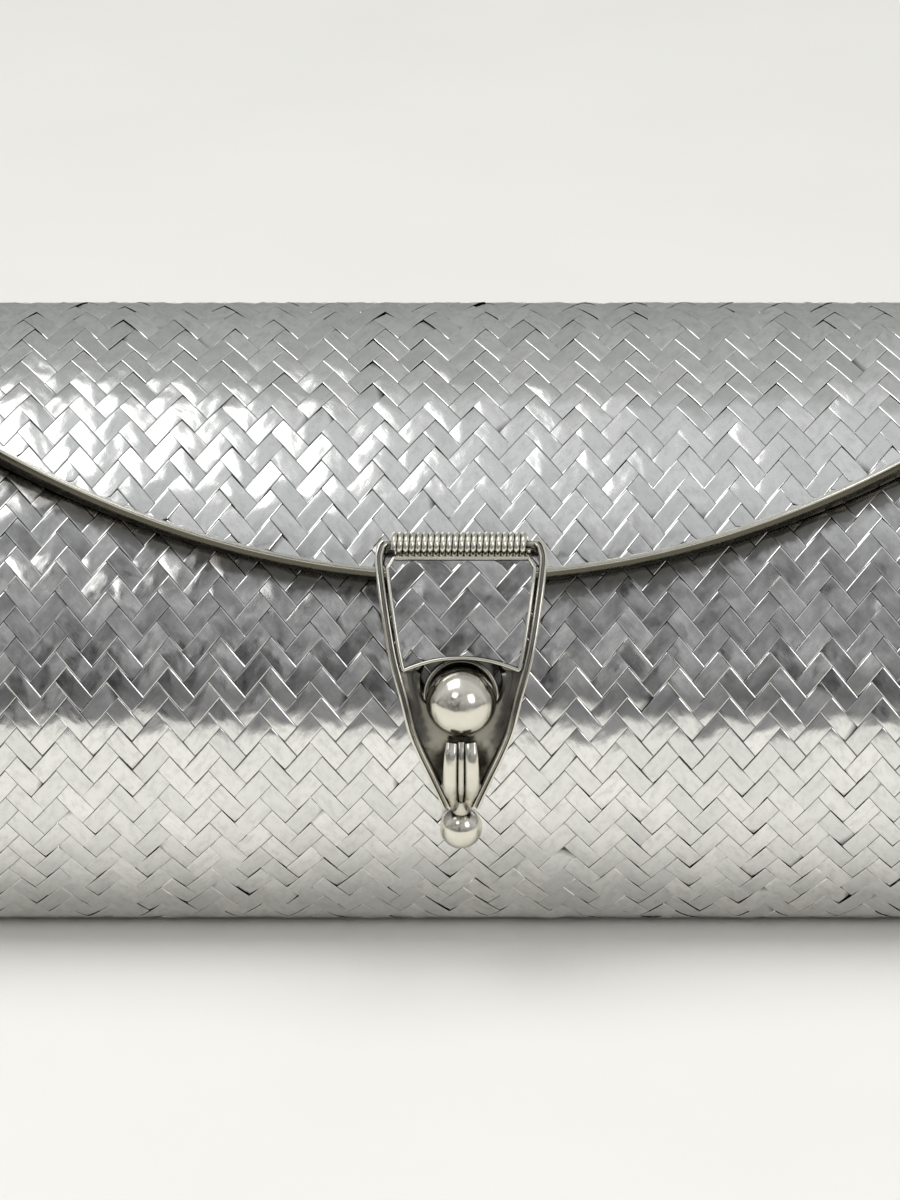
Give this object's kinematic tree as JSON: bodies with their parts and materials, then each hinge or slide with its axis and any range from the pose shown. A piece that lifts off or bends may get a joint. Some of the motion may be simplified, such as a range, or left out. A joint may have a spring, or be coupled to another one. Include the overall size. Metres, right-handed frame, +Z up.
{
  "type": "woven silver purse",
  "caption": "D-section evening purse of woven silver ribbon with a hinged hood flap and a bail clasp that closes over a ball stud.",
  "frame": {"origin": "centre of the flat base", "axes": "+Z up, +X along the purse's length, the clasp faces -Y"},
  "size_m": [0.2022, 0.0758, 0.094],
  "materials": {
    "woven_silver": "polished woven ribbon with fine scratches",
    "polished_silver": "polished strip",
    "clasp_silver": "bright polished, slightly warm"
  },
  "bodies": {
    "body": {"body_wrap": "woven_silver", "end_panel_left": "woven_silver", "end_panel_right": "woven_silver", "end_band_left": "polished_silver", "end_band_right": "polished_silver", "mouth_band": "polished_silver", "body_hinge": "polished_silver", "hinge_pin": "polished_silver", "ball_stud": "clasp_silver"},
    "flap": {"flap_shell": "woven_silver", "flap_rim": "polished_silver", "flap_hinge": "polished_silver", "coil_barrel": "clasp_silver"},
    "bail": {"bail_frame": "clasp_silver", "bail_panel": "woven_silver"}
  },
  "joints": [
    {"name": "flap_hinge_joint", "type": "hinge", "parent": "body", "child": "flap", "pos_m": [0, 0.0293, 0.08584], "axis": [-1, 0, 0], "range_deg": [0, 110]},
    {"name": "bail_joint", "type": "hinge", "parent": "flap", "child": "bail", "pos_m": [0, -0.02661, 0.06849], "axis": [-1, 0, 0], "range_deg": [0, 120]}
  ]
}
